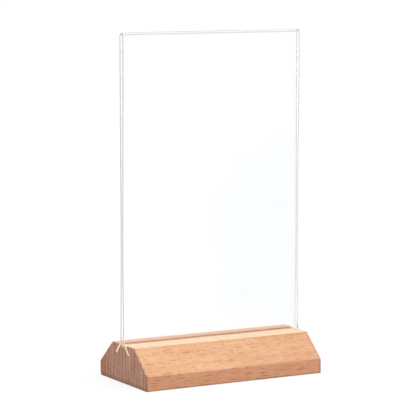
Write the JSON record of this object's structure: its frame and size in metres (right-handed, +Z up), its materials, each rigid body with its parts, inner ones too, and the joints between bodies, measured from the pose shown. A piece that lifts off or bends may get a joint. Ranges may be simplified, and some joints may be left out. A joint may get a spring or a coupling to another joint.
{
  "type": "acrylic sign holder",
  "caption": "Clear folded acrylic pocket that stands upright in a solid beech base and slides out of it endwise.",
  "frame": {"origin": "middle of the base's underside, on the table", "axes": "+Z up; X along the base, the way the panel slides; -Y towards the front, the viewer's side in the picture"},
  "size_m": [0.105, 0.0524, 0.1808],
  "materials": {
    "beech": "sanded, thin clear oil",
    "clear_acrylic": "cast clear sheet, heat bent, cut edges fine matt"
  },
  "bodies": {
    "base": {"wooden_base": "beech"},
    "panel": {"acrylic_panel": "clear_acrylic"}
  },
  "joints": [
    {"name": "panel_slide", "type": "slide", "parent": "base", "child": "panel", "axis": [1, 0, 0], "range_m": [-0.106, 0.106]}
  ]
}
